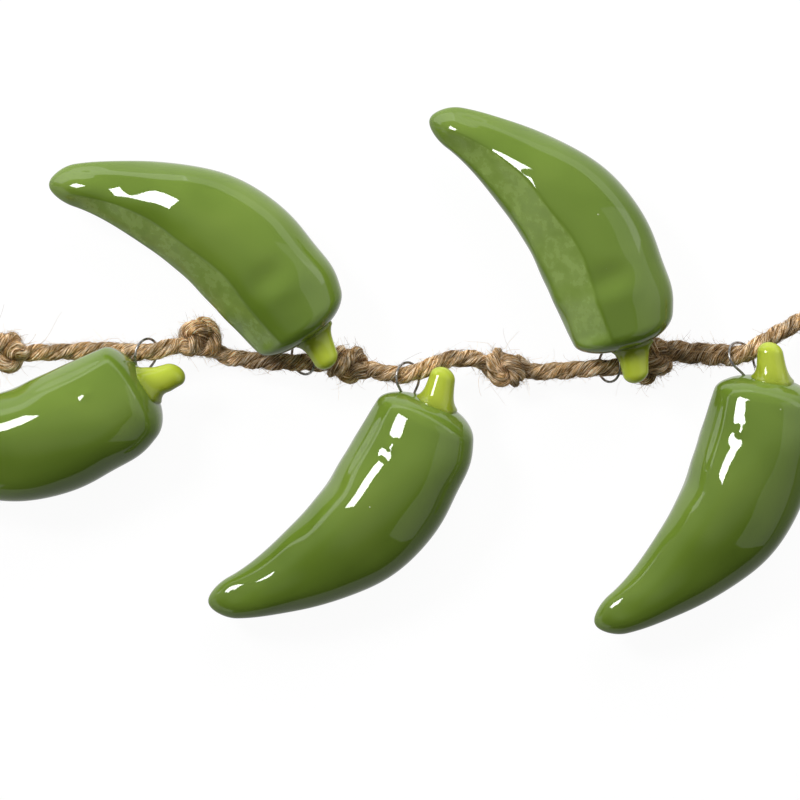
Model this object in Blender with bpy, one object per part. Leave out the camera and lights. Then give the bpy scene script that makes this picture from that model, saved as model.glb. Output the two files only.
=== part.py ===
"""A stretch of a kitchen garland: five glazed ceramic chillies on a knotted jute rope.

The pods are castings from one mould. They lie on their sides, turned to either side of the
rope in turn, so every second one shows its other face. A wire eye stands in the cap of each
pod beside the stalk, and the rope runs through the eyes, with an overhand knot between them.
Units are metres, +Z is up, and the origin is on the table under the middle of the pods.
"""

import math

import bmesh
import bpy
import numpy as np
from mathutils import Matrix, Vector

# The pod, with distances measured along its middle from the cap.
POD_LENGTH = 0.120
HALF_WIDTHS = (  # share of the length, half of the width there
    (0.00, 0.0173),
    (0.12, 0.0209),
    (0.30, 0.0223),
    (0.50, 0.0200),
    (0.70, 0.0146),
    (0.85, 0.0103),
    (1.00, 0.0056),
)
THICKNESS_SHARE = 0.88  # how thick the pod is for its width
TIP_ROUND = 0.0095
SHOULDER_ROUND = 0.0075
SHOULDER_POWER = 2.5  # 2 is a quarter circle, and more is squarer
CAP_TILT = 0.13  # the cap stands out on the hollow side of the bend
CAP_TILT_REACH = 0.022
BODY_STATIONS = 9
ROUND_STATIONS = 4
SIDES = 24

# The stalk stands on the cap, a little towards the outer side of the bend.
STALK_SIDE = -0.0025
STALK_LENGTH = 0.0135
STALK_FOOT = 0.0060
STALK_END = 0.0044
STALK_FLARE = 0.0026
STALK_FLARE_REACH = 0.0013
STALK_END_ROUND = 0.0036
STALK_STATIONS = (0.0003, 0.0014, 0.0034, 0.0066, 0.0099)

# How the pods lie: place of the cap's middle, heading of the stalk, bend, and which face is up.
PODS = {
    "chilli_1": {"at": (-0.0697, -0.0032), "heading": 42.0, "bend": 68.0, "turned": False},
    "chilli_2": {"at": (-0.0083, 0.0120), "heading": -63.6, "bend": 66.0, "turned": True},
    "chilli_3": {"at": (0.0372, -0.0111), "heading": 77.2, "bend": 70.0, "turned": False},
    "chilli_4": {"at": (0.1103, 0.0083), "heading": -83.0, "bend": 67.0, "turned": True},
    "chilli_5": {"at": (0.1626, -0.0026), "heading": 91.3, "bend": 72.0, "turned": False},
}
TIP_DROP = 3.5  # degrees, as a pod leans from its fat end towards its tip
FLAT_RISE = 0.00075  # what is lower than this over the table is pressed flat onto it

# The wire eyes: middle, height, heading from the middle to the cap, how far the eye leans,
# and how far its foot reaches beyond the round.
EYE_RADIUS = 0.0057
WIRE_RADIUS = 0.00048
WIRE_ROOM = 0.00032  # between the wire and its groove in the cap
EYE_SEGMENTS = 28
FOOT_SPREAD = 28.0  # degrees of the eye that its foot takes to each side
WIRE_SIDES = 6
EYES = {
    "chilli_1": {"at": (-0.0694, 0.0065, 0.0139), "heading": -105.0, "lean": 48.0, "foot": 0.0026},
    "chilli_2": {"at": (-0.0106, 0.0043, 0.0123), "heading": 110.0, "lean": 45.0, "foot": 0.0013},
    "chilli_3": {"at": (0.0287, -0.0025, 0.0150), "heading": -88.0, "lean": 42.0, "foot": 0.0018},
    "chilli_4": {"at": (0.1043, 0.0016, 0.0135), "heading": 94.0, "lean": 46.0, "foot": 0.0011},
    "chilli_5": {"at": (0.1537, 0.0053, 0.0152), "heading": -60.0, "lean": 42.0, "foot": 0.0040},
}

# The rope's route, with its knots.
ROPE_RADIUS = 0.0030
KNOT_RADIUS = 0.0068
KNOT_HALF_LENGTH = 0.0072
ROUTE = (
    (-0.1487, 0.0051, 0.0034),
    (-0.1432, 0.0066, 0.0052),
    (-0.1392, 0.0074, 0.0068),
    (-0.1352, 0.0081, 0.0072),
    (-0.1297, 0.0091, 0.0068),
    (-0.1230, 0.0096, 0.0072),
    (-0.1162, 0.0071, 0.0066),
    (-0.1052, 0.0071, 0.0042),
    (-0.0942, 0.0076, 0.0036),
    (-0.0867, 0.0078, 0.0037),
    (-0.0802, 0.0075, 0.0062),
    (-0.0747, 0.0071, 0.0100),
    (-0.0694, 0.0069, 0.0140),
    (-0.0632, 0.0081, 0.0148),
    (-0.0557, 0.0103, 0.0108),
    (-0.0481, 0.0108, 0.0073),
    (-0.0407, 0.0059, 0.0066),
    (-0.0312, 0.0043, 0.0082),
    (-0.0222, 0.0036, 0.0118),
    (-0.0162, 0.0033, 0.0133),
    (-0.0106, 0.0033, 0.0121),
    (-0.0027, 0.0029, 0.0103),
    (0.0063, 0.0037, 0.0074),
    (0.0143, 0.0006, 0.0086),
    (0.0223, -0.0012, 0.0124),
    (0.0287, -0.0015, 0.0154),
    (0.0358, 0.0012, 0.0164),
    (0.0433, 0.0041, 0.0146),
    (0.0503, 0.0048, 0.0110),
    (0.0578, 0.0038, 0.0080),
    (0.0652, 0.0011, 0.0073),
    (0.0733, -0.0003, 0.0068),
    (0.0838, -0.0001, 0.0082),
    (0.0928, 0.0005, 0.0122),
    (0.0986, 0.0010, 0.0146),
    (0.1043, 0.0014, 0.0137),
    (0.1118, 0.0023, 0.0108),
    (0.1211, 0.0063, 0.0072),
    (0.1288, 0.0075, 0.0062),
    (0.1368, 0.0066, 0.0056),
    (0.1438, 0.0061, 0.0092),
    (0.1488, 0.0058, 0.0124),
    (0.1537, 0.0059, 0.0153),
    (0.1598, 0.0094, 0.0160),
    (0.1668, 0.0136, 0.0140),
    (0.1758, 0.0184, 0.0100),
    (0.1838, 0.0221, 0.0076),
    (0.1908, 0.0251, 0.0072),
    (0.1948, 0.0267, 0.0068),
    (0.1988, 0.0283, 0.0052),
    (0.2043, 0.0303, 0.0034),
)
KNOTS = (3, 5, 15, 22, 30, 37, 47)  # the route's points that lie in the middle of a knot
KNOT_STEPS = (-1.0, -0.80, -0.42, 0.0, 0.42, 0.80, 1.0)  # shares of a knot's half length
ROPE_STEP = 0.011  # between the rope's sections away from its knots
ROPE_BEVEL_RESOLUTION = 2

FINISHES = {  # colour, roughness, metallic
    "glaze": ((0.140, 0.260, 0.032, 1.0), 0.08, 0.0),
    "jute": ((0.400, 0.270, 0.130, 1.0), 0.90, 0.0),
    "wire": ((0.180, 0.170, 0.160, 1.0), 0.35, 1.0),
}


def clear_scene():
    for thing in list(bpy.data.objects):
        bpy.data.objects.remove(thing, do_unlink=True)


def finish(thing, kind):
    """Gives the object its own material of that kind."""
    colour, roughness, metallic = FINISHES[kind]
    material = bpy.data.materials.new(f"{thing.name}_{kind}")
    material.use_nodes = True
    shader = material.node_tree.nodes["Principled BSDF"]
    shader.inputs["Base Color"].default_value = colour
    shader.inputs["Roughness"].default_value = roughness
    shader.inputs["Metallic"].default_value = metallic
    thing.data.materials.append(material)


def add_mesh(name, points, faces):
    mesh = bpy.data.meshes.new(name)
    mesh.from_pydata([tuple(p) for p in points], [], faces)
    mesh.shade_smooth()
    thing = bpy.data.objects.new(name, mesh)
    bpy.context.scene.collection.objects.link(thing)
    return thing


def smooth_value(pairs, at):
    """The value at a place between known ones, on a curve with a smooth slope."""
    places = np.array([p[0] for p in pairs])
    values = np.array([p[1] for p in pairs])
    slopes = np.gradient(values, places)
    i = int(np.clip(np.searchsorted(places, at) - 1, 0, len(pairs) - 2))
    gap = places[i + 1] - places[i]
    t = (at - places[i]) / gap
    start = values[i] * (1 + 2 * t) * (1 - t) ** 2 + slopes[i] * gap * t * (1 - t) ** 2
    end = values[i + 1] * t * t * (3 - 2 * t) - slopes[i + 1] * gap * t * t * (1 - t)
    return float(start + end)


def pod_half_width(along):
    """Half of the pod's width, at that distance along its middle from the cap."""
    width = smooth_value(HALF_WIDTHS, along / POD_LENGTH)
    into_tip = max(0.0, (along - POD_LENGTH + TIP_ROUND) / TIP_ROUND)
    into_shoulder = max(0.0, (SHOULDER_ROUND - along) / SHOULDER_ROUND)
    width *= math.sqrt(max(0.0, 1 - into_tip**2))
    return width * (1 - into_shoulder**SHOULDER_POWER) ** (1 / SHOULDER_POWER)


def stalk_half_width(out):
    """Half of the stalk's width, at that distance out from the cap."""
    width = STALK_FOOT + (STALK_END - STALK_FOOT) * out / STALK_LENGTH
    width += STALK_FLARE * math.exp(-out / STALK_FLARE_REACH)
    into_end = max(0.0, (out - STALK_LENGTH + STALK_END_ROUND) / STALK_END_ROUND)
    return width * math.sqrt(max(0.0, 1 - into_end**2))


def pod_sections():
    """The pod's cross-sections from near its tip to near the stalk's end: place along the
    straightened middle (positive beyond the cap), shift to the side, half width."""
    turns = [(k + 1) / (ROUND_STATIONS + 1) for k in range(ROUND_STATIONS)]
    tip = [POD_LENGTH - TIP_ROUND * (1 - math.cos(t * math.pi / 2)) for t in turns]
    body = np.linspace(POD_LENGTH - TIP_ROUND, SHOULDER_ROUND, BODY_STATIONS)
    shoulder = [SHOULDER_ROUND * (1 - math.sin(t * math.pi / 2)) for t in turns]
    sections = [(-a, 0.0, pod_half_width(a)) for a in [*tip, *body, *shoulder]]
    end = [STALK_LENGTH - STALK_END_ROUND * (1 - math.sin(t * math.pi / 2)) for t in turns[1:]]
    for out in [*STALK_STATIONS, *end]:
        sections.append((out, STALK_SIDE, stalk_half_width(out)))
    return sections


def bent(along, side, up, bend):
    """A point of the straight pod after the bend, which is towards +Y, and the cap's tilt."""
    along += CAP_TILT * side * math.exp(-((along / CAP_TILT_REACH) ** 2))
    if along >= 0:
        return Vector((along, side, up))
    middle = POD_LENGTH / bend
    angle = -along / middle
    return Vector(((side - middle) * math.sin(angle), middle + (side - middle) * math.cos(angle), up))


def pod_mesh(name, bend):
    """The pod with its stalk, as one closed skin of rings between two end points."""
    points = [bent(-POD_LENGTH, 0.0, 0.0, bend)]
    for along, shift, half in pod_sections():
        for k in range(SIDES):
            angle = 2 * math.pi * (k + 0.5) / SIDES
            side = shift + half * math.cos(angle)
            up = half * THICKNESS_SHARE * math.sin(angle)
            points.append(bent(along, side, up, bend))
    points.append(bent(STALK_LENGTH, STALK_SIDE, 0.0, bend))
    rings = (len(points) - 2) // SIDES
    faces = []
    for k in range(SIDES):
        after = (k + 1) % SIDES
        faces.append((0, 1 + after, 1 + k))
        for r in range(rings - 1):
            low = 1 + r * SIDES
            faces.append((low + k, low + after, low + SIDES + after, low + SIDES + k))
        last = 1 + (rings - 1) * SIDES
        faces.append((last + k, last + after, len(points) - 1))
    return add_mesh(name, points, faces)


def outward(thing):
    """Turns all faces of a closed mesh to point out."""
    shape = bmesh.new()
    shape.from_mesh(thing.data)
    bmesh.ops.recalc_face_normals(shape, faces=shape.faces)
    shape.to_mesh(thing.data)
    shape.free()


def pod_pose(place):
    """Rotation of a lying pod: its heading, the drop of its tip, and the face that is up."""
    half_bend = math.radians(place["bend"] / 2)
    lean_axis = Vector((math.sin(half_bend), math.cos(half_bend), 0.0))
    if place["turned"]:
        lean_axis.x = -lean_axis.x
    heading = Matrix.Rotation(math.radians(place["heading"]), 4, "Z")
    lean = Matrix.Rotation(-math.radians(TIP_DROP), 4, lean_axis)
    face = Matrix.Rotation(math.pi if place["turned"] else 0.0, 4, "X")
    return heading @ lean @ face


def lay_on_table(thing, pose, at):
    """Places a pod at rest on the table, and presses its lowest stretch flat."""
    points = [pose @ v.co for v in thing.data.vertices]
    lowest = min(p.z for p in points)
    place = Matrix.Translation((at[0], at[1], -lowest)) @ pose
    back = place.inverted()
    for vertex in thing.data.vertices:
        point = place @ vertex.co
        if point.z < FLAT_RISE:
            point.z = 0.0
            vertex.co = back @ point
    thing.location = place.translation
    thing.rotation_euler = place.to_euler()


def eye_line(eye):
    """The middle line of an eye's wire, around its own middle, and the eye's flat normal."""
    heading = math.radians(eye["heading"])
    lean = math.radians(eye["lean"])
    to_cap = Vector((math.cos(heading), math.sin(heading), 0.0))
    level = Vector((math.sin(heading), -math.cos(heading), 0.0))
    across = level * math.cos(lean) + Vector((0, 0, 1)) * math.sin(lean)
    line = []
    for i in range(EYE_SEGMENTS):
        turn = 2 * math.pi * i / EYE_SEGMENTS
        from_foot = math.degrees(min(turn, 2 * math.pi - turn))
        reach = EYE_RADIUS + eye["foot"] * math.exp(-((from_foot / FOOT_SPREAD) ** 2))
        line.append((to_cap * math.cos(turn) + across * math.sin(turn)) * reach)
    return line, to_cap.cross(across)


def eye_ring(name, eye, wire_radius, sides):
    """A closed eye of wire, leaning to one side about the line from its middle to the cap."""
    line, normal = eye_line(eye)
    points = []
    for before, here, after in zip(line[-1:] + line[:-1], line, line[1:] + line[:1]):
        outer = (after - before).cross(normal).normalized()
        for k in range(sides):
            around = 2 * math.pi * (k + 0.5) / sides
            shift = outer * math.cos(around) + normal * math.sin(around)
            points.append(here + wire_radius * shift)
    faces = []
    for i in range(EYE_SEGMENTS):
        near = i * sides
        far = (i + 1) % EYE_SEGMENTS * sides
        for k in range(sides):
            turned = (k + 1) % sides
            faces.append((near + k, far + k, far + turned, near + turned))
    thing = add_mesh(name, points, faces)
    outward(thing)
    thing.location = eye["at"]
    return thing


def cut_groove(pod, eye):
    """Cuts the groove in the cap that the eye's foot is set in."""
    groove = eye_ring(f"{pod.name}_groove", eye, WIRE_RADIUS + WIRE_ROOM, WIRE_SIDES)
    groove.hide_render = True
    groove.display_type = "WIRE"
    cut = pod.modifiers.new("groove", "BOOLEAN")
    cut.operation = "DIFFERENCE"
    cut.solver = "EXACT"
    cut.object = groove


def route_curve(per_span=12):
    """A smooth curve through the route's points, and the distance along it at each of them."""
    route = np.array(ROUTE)
    ends = np.vstack([2 * route[0] - route[1], route, 2 * route[-1] - route[-2]])
    line = []
    for i in range(len(route) - 1):
        a, b, c, d = ends[i : i + 4]
        for t in np.arange(per_span) / per_span:
            bow = 2 * a - 5 * b + 4 * c - d
            twist = 3 * b - a - 3 * c + d
            line.append(0.5 * (2 * b + (c - a) * t + bow * t * t + twist * t**3))
    line = np.array([*line, route[-1]])
    along = np.concatenate([[0], np.cumsum(np.linalg.norm(np.diff(line, axis=0), axis=1))])
    return line, along, along[::per_span]


def rope_sections():
    """The rope's points and radii: few between the knots, and more where it swells in one."""
    line, along, at_route = route_curve()
    knots = [at_route[k] for k in KNOTS]
    places = {0.0, float(along[-1])}
    for knot in knots:
        places.update(float(knot + step * KNOT_HALF_LENGTH) for step in KNOT_STEPS)
    ordered = sorted(p for p in places if 0 <= p <= along[-1])
    full = []
    for start, end in zip(ordered, ordered[1:]):
        pieces = max(1, round((end - start) / ROPE_STEP))
        full.extend(np.linspace(start, end, pieces, endpoint=False))
    full.append(ordered[-1])
    radii = []
    for place in full:
        nearest = min(abs(place - knot) for knot in knots) / KNOT_HALF_LENGTH
        swell = math.sqrt(max(0.0, 1 - nearest**2))
        radii.append(ROPE_RADIUS + (KNOT_RADIUS - ROPE_RADIUS) * swell)
    points = [[float(np.interp(p, along, line[:, axis])) for axis in range(3)] for p in full]
    return points, radii


def make_rope():
    points, radii = rope_sections()
    curve = bpy.data.curves.new("rope", "CURVE")
    curve.dimensions = "3D"
    curve.bevel_depth = ROPE_RADIUS
    curve.bevel_resolution = ROPE_BEVEL_RESOLUTION
    curve.render_resolution_u = 0
    curve.use_fill_caps = True
    spline = curve.splines.new("POLY")
    spline.points.add(len(points) - 1)
    for spot, point, radius in zip(spline.points, points, radii):
        spot.co = (*point, 1.0)
        spot.radius = radius / ROPE_RADIUS
    rope = bpy.data.objects.new("rope", curve)
    bpy.context.scene.collection.objects.link(rope)
    finish(rope, "jute")


def make_pods():
    for name, place in PODS.items():
        pod = pod_mesh(name, math.radians(place["bend"]))
        outward(pod)
        lay_on_table(pod, pod_pose(place), place["at"])
        cut_groove(pod, EYES[name])
        finish(pod, "glaze")


def make_eyes():
    for name, eye in EYES.items():
        ring = eye_ring(name.replace("chilli", "eye"), eye, WIRE_RADIUS, WIRE_SIDES)
        finish(ring, "wire")


clear_scene()
make_pods()
make_eyes()
make_rope()
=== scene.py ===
"""Looks of the ceramic chilli garland: glazed pods with lime stalks, wire eyes, jute rope."""

import math

import bpy
import numpy as np
from mathutils import Matrix, Vector


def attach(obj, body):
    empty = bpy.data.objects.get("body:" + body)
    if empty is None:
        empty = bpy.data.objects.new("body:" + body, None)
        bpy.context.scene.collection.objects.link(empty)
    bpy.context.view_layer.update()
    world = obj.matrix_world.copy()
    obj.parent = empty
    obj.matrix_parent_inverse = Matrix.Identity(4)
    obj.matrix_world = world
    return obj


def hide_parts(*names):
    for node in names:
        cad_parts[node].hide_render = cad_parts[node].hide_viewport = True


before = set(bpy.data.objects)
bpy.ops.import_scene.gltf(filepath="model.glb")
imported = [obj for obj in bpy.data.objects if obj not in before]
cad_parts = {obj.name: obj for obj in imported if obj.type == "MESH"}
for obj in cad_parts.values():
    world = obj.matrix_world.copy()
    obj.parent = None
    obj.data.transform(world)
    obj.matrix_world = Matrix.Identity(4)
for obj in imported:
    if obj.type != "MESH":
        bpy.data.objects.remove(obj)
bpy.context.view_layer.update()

# The pod, as in part.py: distances are measured along its middle from the cap.
POD_LENGTH = 0.120
HALF_WIDTHS = (
    (0.00, 0.0173),
    (0.12, 0.0209),
    (0.30, 0.0223),
    (0.50, 0.0200),
    (0.70, 0.0146),
    (0.85, 0.0103),
    (1.00, 0.0056),
)
THICKNESS_SHARE = 0.88
TIP_ROUND = 0.0095
SHOULDER_ROUND = 0.0075
SHOULDER_POWER = 2.5
CAP_TILT = 0.13
CAP_TILT_REACH = 0.022
FACE_TILT = 0.16  # the cap also leans back from the front face
STALK_SIDE = -0.0025
STALK_LENGTH = 0.0135
STALK_FOOT = 0.0060
STALK_END = 0.0044
STALK_FLARE = 0.0020  # this and its reach are softer than in part.py
STALK_FLARE_REACH = 0.0017
STALK_END_ROUND = 0.0036
TIP_DROP = 3.5  # degrees, as a pod leans from its fat end towards its tip
CREASE = (  # how far along, and how far across, the crease runs down the back
    (0.00, 0.36),
    (0.02, 0.45),
    (0.04, 0.37),
    (0.06, 0.40),
    (0.08, 0.34),
    (0.10, 0.33),
    (0.12, 0.34),
)
CREASE_DEPTH = 0.86
CREASE_LIP = 0.030  # how far outside the crease its lip lies, and how wide it is
FLAT_END = 0.97  # how far across the flat of the back ends

# The casting's relief. Each row is a height, then its middle and reach along the pod, and
# where it has them its middle and reach across it, from -1 on the outer side to 1 on the
# hollow side.
OUTER_SIDE = (
    (0.00045, 0.014, 0.007),
    (-0.00040, 0.026, 0.007),
    (0.00100, 0.056, 0.015),
    (-0.00090, 0.090, 0.013),
)
HOLLOW_SIDE = ((0.00080, 0.084, 0.013),)
HOLLOW_SIDE_OF_BACK = ((0.00070, 0.028, 0.006), (-0.00070, 0.018, 0.005))
HOLLOW_SIDE_OF_FRONT = ((-0.00110, 0.050, 0.008),)
FRONT_NICKS = (
    (-0.00024, 0.0245, 0.0024, 0.42, 0.09),
    (0.00014, 0.0195, 0.0026, 0.40, 0.08),
    (-0.00010, 0.0310, 0.0022, 0.40, 0.07),
)
FRONT_FORM = (
    (0.00196, 0.0526, 0.018, 0.30, 0.50),  # fullest past the middle
    (-0.00147, 0.0140, 0.018, 0.30, 0.50),  # sunk a little by the cap
    (0.00069, 0.0720, 0.010, 0.40, 0.40),
    (-0.00095, 0.1080, 0.006, 0.20, 0.50),  # a dip near the tip
    (0.00046, 0.0200, 0.003, 0.36, 0.10),
    (0.00033, 0.0300, 0.004, 0.36, 0.14),
)
BACK_FORM = (
    (-0.00160, 0.0268, 0.0048, -0.04, 0.36),  # a dent across the fat end
    (0.00045, 0.0195, 0.0040, 0.00, 0.45),  # the swelling between it and the cap
    (0.00050, 0.0710, 0.0090, 0.00, 0.70),
    (-0.00100, 0.0940, 0.0100, 0.00, 0.70),
    (0.00120, 0.1080, 0.0090, 0.00, 0.70),
    (0.00055, 0.0840, 0.0070, 0.20, 0.40),
)
STALK_LEANS = {"chilli_1": -0.34, "chilli_5": 0.06}  # sideways, for each metre out
ROLLS = {"chilli_2": 8.0, "chilli_4": -8.5}  # turns the casting's crease about the pod
PODS = {
    "chilli_1": {"at": (-0.0697, -0.0032), "heading": 42.0, "bend": 68.0, "turned": False},
    "chilli_2": {"at": (-0.0083, 0.0120), "heading": -63.6, "bend": 66.0, "turned": True},
    "chilli_3": {"at": (0.0372, -0.0111), "heading": 77.2, "bend": 70.0, "turned": False},
    "chilli_4": {"at": (0.1103, 0.0083), "heading": -83.0, "bend": 67.0, "turned": True},
    "chilli_5": {"at": (0.1626, -0.0026), "heading": 91.3, "bend": 72.0, "turned": False},
}

# The wire eyes, as in part.py: middle, heading to the cap, how far the eye leans, and how far
# its foot reaches.
EYE_RADIUS = 0.0057
WIRE_RADIUS = 0.00048
FOOT_SPREAD = 28.0
EYES = {
    "chilli_1": {"at": (-0.0694, 0.0065, 0.0139), "heading": -105.0, "lean": 48.0, "foot": 0.0026},
    "chilli_2": {"at": (-0.0106, 0.0043, 0.0123), "heading": 110.0, "lean": 45.0, "foot": 0.0013},
    "chilli_3": {"at": (0.0287, -0.0025, 0.0150), "heading": -88.0, "lean": 42.0, "foot": 0.0018},
    "chilli_4": {"at": (0.1043, 0.0016, 0.0135), "heading": 94.0, "lean": 46.0, "foot": 0.0011},
    "chilli_5": {"at": (0.1537, 0.0053, 0.0152), "heading": -60.0, "lean": 42.0, "foot": 0.0040},
}

# The rope, as in part.py, and the points of its route that lie in the middle of a knot.
ROPE_RADIUS = 0.0030
ROUTE = (
    (-0.1487, 0.0051, 0.0034),
    (-0.1432, 0.0066, 0.0052),
    (-0.1392, 0.0074, 0.0068),
    (-0.1352, 0.0081, 0.0072),
    (-0.1297, 0.0091, 0.0068),
    (-0.1230, 0.0096, 0.0072),
    (-0.1162, 0.0071, 0.0066),
    (-0.1052, 0.0071, 0.0042),
    (-0.0942, 0.0076, 0.0036),
    (-0.0867, 0.0078, 0.0037),
    (-0.0802, 0.0075, 0.0062),
    (-0.0747, 0.0071, 0.0100),
    (-0.0694, 0.0069, 0.0140),
    (-0.0632, 0.0081, 0.0148),
    (-0.0557, 0.0103, 0.0108),
    (-0.0481, 0.0108, 0.0073),
    (-0.0407, 0.0059, 0.0066),
    (-0.0312, 0.0043, 0.0082),
    (-0.0222, 0.0036, 0.0118),
    (-0.0162, 0.0033, 0.0133),
    (-0.0106, 0.0033, 0.0121),
    (-0.0027, 0.0029, 0.0103),
    (0.0063, 0.0037, 0.0074),
    (0.0143, 0.0006, 0.0086),
    (0.0223, -0.0012, 0.0124),
    (0.0287, -0.0015, 0.0154),
    (0.0358, 0.0012, 0.0164),
    (0.0433, 0.0041, 0.0146),
    (0.0503, 0.0048, 0.0110),
    (0.0578, 0.0038, 0.0080),
    (0.0652, 0.0011, 0.0073),
    (0.0733, -0.0003, 0.0068),
    (0.0838, -0.0001, 0.0082),
    (0.0928, 0.0005, 0.0122),
    (0.0986, 0.0010, 0.0146),
    (0.1043, 0.0014, 0.0137),
    (0.1118, 0.0023, 0.0108),
    (0.1211, 0.0063, 0.0072),
    (0.1288, 0.0075, 0.0062),
    (0.1368, 0.0066, 0.0056),
    (0.1438, 0.0061, 0.0092),
    (0.1488, 0.0058, 0.0124),
    (0.1537, 0.0059, 0.0153),
    (0.1598, 0.0094, 0.0160),
    (0.1668, 0.0136, 0.0140),
    (0.1758, 0.0184, 0.0100),
    (0.1838, 0.0221, 0.0076),
    (0.1908, 0.0251, 0.0072),
    (0.1948, 0.0267, 0.0068),
    (0.1988, 0.0283, 0.0052),
    (0.2043, 0.0303, 0.0034),
)
KNOTS = (3, 5, 15, 22, 30, 37, 47)
ROUTE_STEPS = 12  # points of the smooth route from one of its points to the next
LAY_LENGTH = 0.026  # one turn of the three strands
STRAND_OFFSET = 0.00160
STRAND_RADIUS = 0.00172
STRAND_SIDES = 20
YARN_LENGTH = 0.030  # one turn of the yarns in a strand
FIBRE_LENGTH = 0.006  # how long the pattern of fibres is along a strand
FIBRE_TURNS = 4.2  # how finely it is divided round the strand
ROPE_LOWEST = 0.0002
HAIR_LOWEST = 0.0003
RING_STEP = 0.0008
KNOT_THICK = 0.0046  # how near the rope lies to itself where a knot squeezes it
KNOT_HALF = 0.0074
KNOT_SQUEEZE = 0.92
KNOT_PRESS = (0.74, 1.05, 1.45)  # along the rope, and the two ways across it
KNOT_ROLLS = (40.0, 205.0, 15.0, 250.0, 100.0, 160.0, 20.0)  # degrees about the rope
KNOT_SHIFTS = (0.0, 0.0, -0.0018, 0.0, 0.0, -0.0040, 0.0)  # along the rope
TEASED = (0.121, 0.153)  # between these places along X the rope is teased out
FLUFF = 0.26  # how much fatter it is there
TEASED_PAINTED_SHADE = 0.56  # how much darker painted shade makes the jute there: a pod's shadow and the shade among its loose fibres
PAINTED_LIGHT_KNOT = 2
KNOT_PAINTED_LIGHT = 0.45  # how much lighter painted light makes the jute about that knot
HAIR_SIZES = (0.0006, 0.016)  # the shortest and the longest hair
SEED = 7

# Colours of the glazes: three shades, of which the first is also the darker colour at the
# crease's lip and the stalk's foot (thick glaze and painted shade), then the paler colour of
# the back's flat (thinner glaze and painted light), and a pinhole.
GREEN = (
    (0.110, 0.180, 0.018),
    (0.138, 0.218, 0.026),
    (0.165, 0.248, 0.034),
    (0.255, 0.365, 0.085),
    (0.420, 0.480, 0.240),
)
LIME = (
    (0.20, 0.26, 0.014),
    (0.45, 0.54, 0.040),
    (0.54, 0.62, 0.070),
    (0.60, 0.66, 0.100),
    (0.75, 0.80, 0.350),
)
GLINT = (-0.552, 0.401, 0.731)  # the way to the light that the glaze mirrors
FLOOR_HALF = 2.2
FLOOR_HEIGHT = -0.0001

BODY = "root"
VIEW_MIDDLE = (0.0258, -0.0109, 0.015)
VIEW_WIDTH = 0.300
VIEW_DISTANCE = 2.5
SENSOR = 36.0


def smooth_value(pairs, at):
    """The values at some places between known ones, on a curve with a smooth slope."""
    places = np.array([p[0] for p in pairs])
    values = np.array([p[1] for p in pairs])
    slopes = np.gradient(values, places)
    i = np.clip(np.searchsorted(places, at) - 1, 0, len(pairs) - 2)
    gap = places[i + 1] - places[i]
    t = (at - places[i]) / gap
    start = values[i] * (1 + 2 * t) * (1 - t) ** 2 + slopes[i] * gap * t * (1 - t) ** 2
    end = values[i + 1] * t * t * (3 - 2 * t) - slopes[i + 1] * gap * t * t * (1 - t)
    return start + end


def smoothstep(low, high, at):
    t = np.clip((at - low) / (np.asarray(high) - low), 0, 1)
    return t * t * (3 - 2 * t)


def bump(at, middle, reach):
    return np.exp(-(((at - middle) / reach) ** 2))


def pod_half_width(along):
    width = smooth_value(HALF_WIDTHS, along / POD_LENGTH)
    into_tip = np.clip((along - POD_LENGTH + TIP_ROUND) / TIP_ROUND, 0, 1)
    into_shoulder = np.clip((SHOULDER_ROUND - along) / SHOULDER_ROUND, 0, 1)
    width = width * np.sqrt(1 - into_tip**2)
    return width * (1 - into_shoulder**SHOULDER_POWER) ** (1 / SHOULDER_POWER)


def stalk_half_width(out):
    width = STALK_FOOT + (STALK_END - STALK_FOOT) * np.maximum(out, 0) / STALK_LENGTH
    width = width + STALK_FLARE * np.exp(-np.maximum(out, 0) / STALK_FLARE_REACH)
    into_end = np.clip((out - STALK_LENGTH + STALK_END_ROUND) / STALK_END_ROUND, 0, 1)
    return width * np.sqrt(1 - into_end**2)


def bent(along, side, up, bend):
    """Points of the straight pod after the bend, which is towards +Y, and the cap's tilt."""
    tilt = CAP_TILT * side - FACE_TILT * up
    along = along + tilt * np.exp(-((along / CAP_TILT_REACH) ** 2))
    middle = POD_LENGTH / bend
    angle = np.maximum(-along, 0) / middle
    x = np.where(along >= 0, along, (side - middle) * np.sin(angle))
    y = np.where(along >= 0, side, middle + (side - middle) * np.cos(angle))
    return np.stack([x, y, up], axis=-1)


def swells(rows, along):
    """The height of some rows of relief that reach all the way across, added up."""
    return sum(height * bump(along, middle, reach) for height, middle, reach in rows)


def humps(rows, along, side):
    """The height of some rows of relief that have a place across the pod too, added up."""
    return sum(height * bump(along, middle, reach) * bump(side, across, spread)
               for height, middle, reach, across, spread in rows)


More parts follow.
